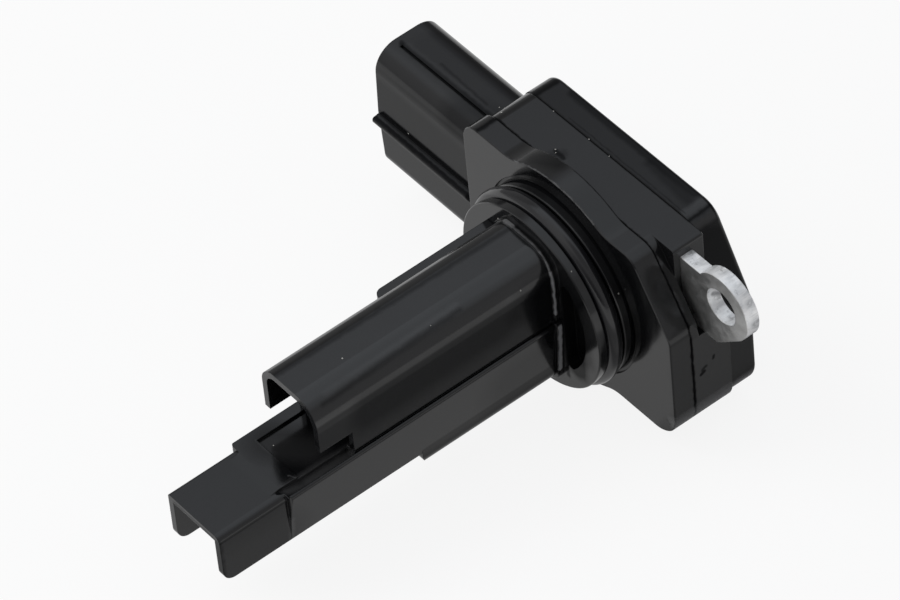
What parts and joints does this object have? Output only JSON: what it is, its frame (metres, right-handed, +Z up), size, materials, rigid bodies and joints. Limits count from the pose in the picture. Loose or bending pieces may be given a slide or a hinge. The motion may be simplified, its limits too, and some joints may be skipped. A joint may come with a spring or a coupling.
{
  "type": "mass airflow sensor",
  "caption": "Plug-in mass airflow sensor: probe with a bypass duct, sealed spigot, flanged head with a metal screw ear and a side connector.",
  "frame": {"origin": "where the spigot's axis meets the seating face of the flange", "axes": "-Y along the spigot towards the probe's tip, -X towards the connector, +Z up across the head"},
  "size_m": [0.0588, 0.0622, 0.0286],
  "materials": {
    "black_plastic": "moulded, glossy",
    "seal_rubber": "smooth",
    "bracket_steel": "punched and plated",
    "board_green": "solder mask",
    "chip_black": "moulded package",
    "capacitor_ceramic": "ceramic body",
    "clear_gel": "soft silicone gel",
    "ceramic_white": "fired ceramic",
    "film_silicon": "polished film",
    "tinned_copper": "tin plated",
    "sealant_grey": "cured bead",
    "bead_glass": "glass coated bead"
  },
  "bodies": {
    "root": {"base_flange": "black_plastic", "bypass_body": "black_plastic", "bypass_cover": "black_plastic", "connector_housing": "black_plastic", "rear_cover": "black_plastic", "o_ring": "seal_rubber", "mounting_bracket": "bracket_steel", "circuit_board": "board_green", "control_chip": "chip_black", "signal_chip": "chip_black", "filter_capacitors": "capacitor_ceramic", "potting_gel": "clear_gel", "sensor_carrier": "ceramic_white", "flow_element": "film_silicon", "element_leads": "tinned_copper", "carrier_sealant": "sealant_grey", "thermistor": "bead_glass", "thermistor_leads": "tinned_copper", "terminal_1": "tinned_copper", "terminal_2": "tinned_copper", "terminal_3": "tinned_copper", "terminal_4": "tinned_copper", "terminal_5": "tinned_copper"}
  },
  "joints": []
}
